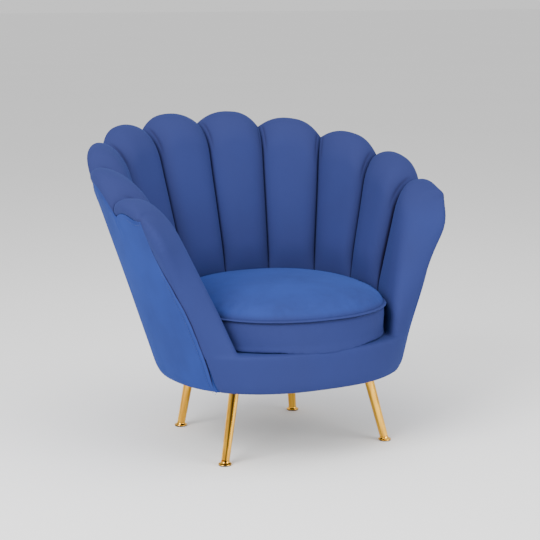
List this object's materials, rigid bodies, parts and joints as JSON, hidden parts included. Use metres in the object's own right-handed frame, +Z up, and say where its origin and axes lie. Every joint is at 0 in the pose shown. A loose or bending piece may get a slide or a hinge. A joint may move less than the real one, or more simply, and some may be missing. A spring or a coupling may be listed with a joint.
{
  "type": "scallop back chair",
  "caption": "Low upholstered armchair with a flared scalloped shell back of upright padded channels, a loose round seat cushion and slim raked metal legs with disc feet.",
  "frame": {"origin": "on the floor, under the middle of the chair's overall width and depth", "axes": "+X to the right of a viewer who stands in front of the chair, +Y from the front towards the back, +Z up; the sitter faces -Y"},
  "size_m": [0.8706, 0.7274, 0.7775],
  "materials": {
    "velvet": "matte",
    "gold": "polished",
    "timber": "matte",
    "steel": "satin",
    "lining": "matte",
    "nylon": "matte"
  },
  "bodies": {
    "frame": {"channel_pad_left_1": "velvet", "channel_pad_left_2": "velvet", "channel_pad_left_3": "velvet", "channel_pad_left_4": "velvet", "channel_pad_left_5": "velvet", "channel_pad_right_1": "velvet", "channel_pad_right_2": "velvet", "channel_pad_right_3": "velvet", "channel_pad_right_4": "velvet", "channel_pad_right_5": "velvet", "outer_cover": "velvet", "apron_cover": "velvet", "arm_piping_left": "velvet", "arm_piping_right": "velvet", "seat_deck": "velvet", "dust_cover": "lining", "shell_board": "timber", "top_rail": "timber", "front_board": "timber", "back_stile_centre": "timber", "back_stile_left": "timber", "back_stile_right": "timber", "side_stile_left": "timber", "side_stile_right": "timber", "arm_post_left": "timber", "arm_post_right": "timber", "base_rail_rear": "timber", "base_rail_front": "timber", "seat_rail_rear": "timber", "seat_rail_front": "timber", "seat_spring_1": "steel", "seat_spring_2": "steel", "seat_spring_3": "steel", "seat_spring_4": "steel", "leg_tube_front_left": "gold", "leg_foot_front_left": "gold", "foot_glide_front_left": "nylon", "leg_plate_front_left": "steel", "leg_stud_front_left": "steel", "corner_block_front_left": "timber", "leg_tube_front_right": "gold", "leg_foot_front_right": "gold", "foot_glide_front_right": "nylon", "leg_plate_front_right": "steel", "leg_stud_front_right": "steel", "corner_block_front_right": "timber", "leg_tube_rear_left": "gold", "leg_foot_rear_left": "gold", "foot_glide_rear_left": "nylon", "leg_plate_rear_left": "steel", "leg_stud_rear_left": "steel", "corner_block_rear_left": "timber", "leg_tube_rear_right": "gold", "leg_foot_rear_right": "gold", "foot_glide_rear_right": "nylon", "leg_plate_rear_right": "steel", "leg_stud_rear_right": "steel", "corner_block_rear_right": "timber"},
    "cushion": {"seat_cushion": "velvet", "cushion_piping": "velvet"}
  },
  "joints": [
    {"name": "seat_cushion_lift", "type": "slide", "parent": "frame", "child": "cushion", "axis": [0, 0, 1], "range_m": [0, 0.55]}
  ]
}
